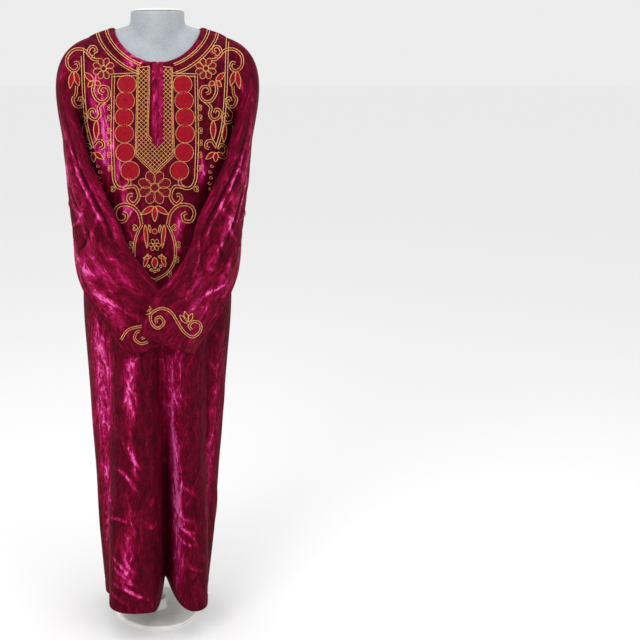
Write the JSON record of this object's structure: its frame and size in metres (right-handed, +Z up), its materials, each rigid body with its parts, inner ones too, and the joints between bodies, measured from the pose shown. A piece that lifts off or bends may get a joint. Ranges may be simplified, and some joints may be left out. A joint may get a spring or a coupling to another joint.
{
  "type": "moroccan caftan on a dress form",
  "caption": "Long velvet caftan with a slit round neckline and full-length sleeves crossed in front, worn by a limbless dress form on a pole and a round base.",
  "frame": {"origin": "on the floor, under the middle of the stand's round base", "axes": "+Z up, the front of the garment faces -Y, +X is the wearer's left"},
  "size_m": [0.4402, 0.3155, 1.4133],
  "materials": {
    "velvet": "crushed polyester velvet",
    "jersey": "grey cotton jersey stretched over a hard form",
    "white_steel": "white powder coat"
  },
  "bodies": {
    "root": {"front": "velvet", "back": "velvet", "sleeve_left": "velvet", "sleeve_right": "velvet", "neck_binding": "velvet", "placket_left": "velvet", "placket_right": "velvet", "form_torso": "jersey", "form_neck_cap": "white_steel", "form_pole": "white_steel", "form_base": "white_steel"}
  },
  "joints": []
}
